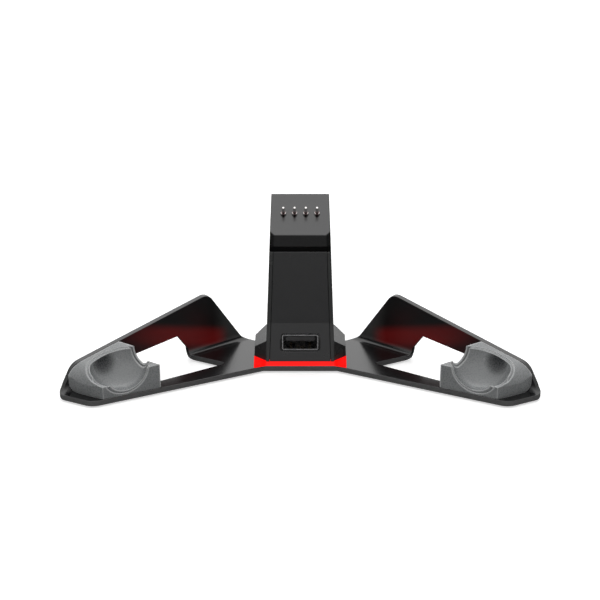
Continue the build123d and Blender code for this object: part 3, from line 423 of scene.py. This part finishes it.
finishes = {
    "tray_plastic": tray("tray_plastic"),
    "tower_plastic": moulded("tower_plastic", (0.022, 0.023, 0.023), 0.26, specular=0.4),
    "panel_plastic": moulded("panel_plastic", (0.011, 0.011, 0.012), 0.3),
    "head_plastic": moulded("head_plastic", (0.004, 0.004, 0.0044), 0.22, edge=3.0),
    # Neck: black plastic, darker and with less reflection than the rest, as painted shade in the groove it
    # fills
    "neck_plastic": moulded("neck_plastic", (0.0015, 0.0015, 0.0016), 0.3, specular=0.06),
    "cup_silicone": silicone("cup_silicone"),
    "light_red": glowing("light_red"),
    "pin_metal": pin("pin_metal"),
    "spring_steel": metal("spring_steel", (0.6, 0.6, 0.6), 0.3),
    "port_steel": metal("port_steel", (0.62, 0.62, 0.63), 0.26, (0.2, 1.0, 1.0)),
    "insulator": moulded("insulator", (0.03, 0.03, 0.031), 0.4),
    "contact_gold": metal("contact_gold", (0.7, 0.58, 0.4), 0.3),
    "board": laminate("board", (0.02, 0.075, 0.035)),
    "chip": moulded("chip", (0.015, 0.015, 0.016), 0.5),
    "capacitor": moulded("capacitor", (0.3, 0.2, 0.12), 0.45),
    "lamp": moulded("lamp", (0.7, 0.6, 0.5), 0.3),
    "ribbon": moulded("ribbon", (0.25, 0.25, 0.26), 0.45),
    "screw_steel": metal("screw_steel", (0.33, 0.33, 0.34), 0.32),
    "foot_rubber": rubber("foot_rubber", (0.02, 0.02, 0.021)),
}

for subpart in frame["record"]["subparts"]:
    node = nodes[subpart["node"]]
    node.data.materials.clear()
    node.data.materials.append(finishes[subpart["material_slot"]])

# Floor: white to the eye, and still darker where the dock shades it. Reflections see the studio instead.
bpy.ops.mesh.primitive_plane_add(size=FLOOR_SIZE)
floor = bpy.context.object
floor.name = "floor"
paper = Skin("floor_white")
speckle = paper.noise(30.0, 2.0)
paper.feed(Base_Color=paper.blend(speckle, (0.78, 0.78, 0.78), (0.8, 0.8, 0.8)))
paper.set(Roughness=0.9, Specular_IOR_Level=0.0, Emission_Color=WHITE)
ray = paper.add("ShaderNodeLightPath").outputs
seen = paper.math("MAXIMUM", ray["Is Camera Ray"], ray["Is Glossy Ray"])
seen = paper.math("MAXIMUM", seen, ray["Is Transmission Ray"])
paper.feed(Emission_Strength=paper.spread(seen, 0.0, FLOOR_LIFT, 0.0, 1.0))
floor.data.materials.append(paper.material)
floor.visible_glossy = False

# World: white to the eye, dim as a source of light, and in reflections a studio that is bright overhead, dark
# below and dimmer at the sides
world = bpy.data.worlds.new("studio")
scene.world = world
world.use_nodes = True
sky = Graph(world.node_tree, "Generated")
way = sky.split(sky.place)
ramp = sky.add("ShaderNodeValToRGB")
for elevation, radiance in SKY.items():
    stop = ramp.color_ramp.elements.new((sin(radians(elevation)) + 1.0) / 2.0)
    stop.color = (radiance / SKY_TOP, radiance / SKY_TOP, radiance / SKY_TOP, 1.0)
sky.wire(sky.spread(way["Z"], 0.0, 1.0, -1.0, 1.0), ramp.inputs["Fac"])
loss = sky.product(
    sky.spread(sky.math("ABSOLUTE", way["X"]), 0.0, 1.0, *SKY_SIDE, smooth=True),
    sky.spread(way["Z"], SKY_SIDE_LOSS_LOW, SKY_SIDE_LOSS_HIGH, *SKY_HORIZON),
    sky.spread(way["Z"], 1.0, 0.0, *SKY_OVERHEAD),
)
mirrored = sky.product(ramp.outputs["Color"], SKY_TOP, sky.math("SUBTRACT", 1.0, loss))
ray = sky.add("ShaderNodeLightPath").outputs
light = sky.offset(SKY_FILL, ray["Is Glossy Ray"], sky.math("SUBTRACT", mirrored, SKY_FILL))
seen = sky.math("MAXIMUM", ray["Is Camera Ray"], ray["Is Transmission Ray"])
light = sky.offset(light, seen, sky.math("SUBTRACT", 1.0, light))
background = sky.tree.nodes["Background"]
background.inputs["Color"].default_value = WHITE
sky.wire(light, background.inputs["Strength"])


def softbox(name, place, aim, width, height, radiance):
    """Rectangular lamp at a place, turned to a point, with so much light from each part of its face."""
    lamp = bpy.data.lights.new(name, "AREA")
    lamp.shape = "RECTANGLE"
    lamp.size = width
    lamp.size_y = height
    lamp.energy = radiance * pi * width * height
    box = bpy.data.objects.new(name, lamp)
    box.location = place
    scene.collection.objects.link(box)
    away = box.location - Vector(aim)
    box.rotation_euler = away.to_track_quat("Z", "Y").to_euler()
    box.visible_camera = False
    box.visible_glossy = False


softbox("softbox_top", (0.0, 0.12, 0.75), (0.0, 0.0, 0.02), width=0.9, height=0.6, radiance=2.4)
softbox("softbox_rear", (0.0, 0.9, 0.42), (0.0, 0.0, 0.03), width=1.2, height=0.5, radiance=1.6)
for name, side in (("softbox_left", -1.0), ("softbox_right", 1.0)):
    place = (side * 0.75, -0.35, 0.45)
    softbox(name, place, (0.0, 0.0, 0.02), width=0.4, height=0.5, radiance=1.0)

# Camera at the photograph's angle
camera_data = bpy.data.cameras.new("camera")
camera_data.lens = CAMERA_LENS
camera_data.sensor_width = CAMERA_SENSOR
camera_data.shift_x = CAMERA_SHIFT
camera = bpy.data.objects.new("camera", camera_data)
camera.location = CAMERA_PLACE
camera.rotation_euler = (CAMERA_TILT, 0.0, 0.0)
scene.collection.objects.link(camera)
scene.camera = camera

scene.view_settings.view_transform = "Standard"
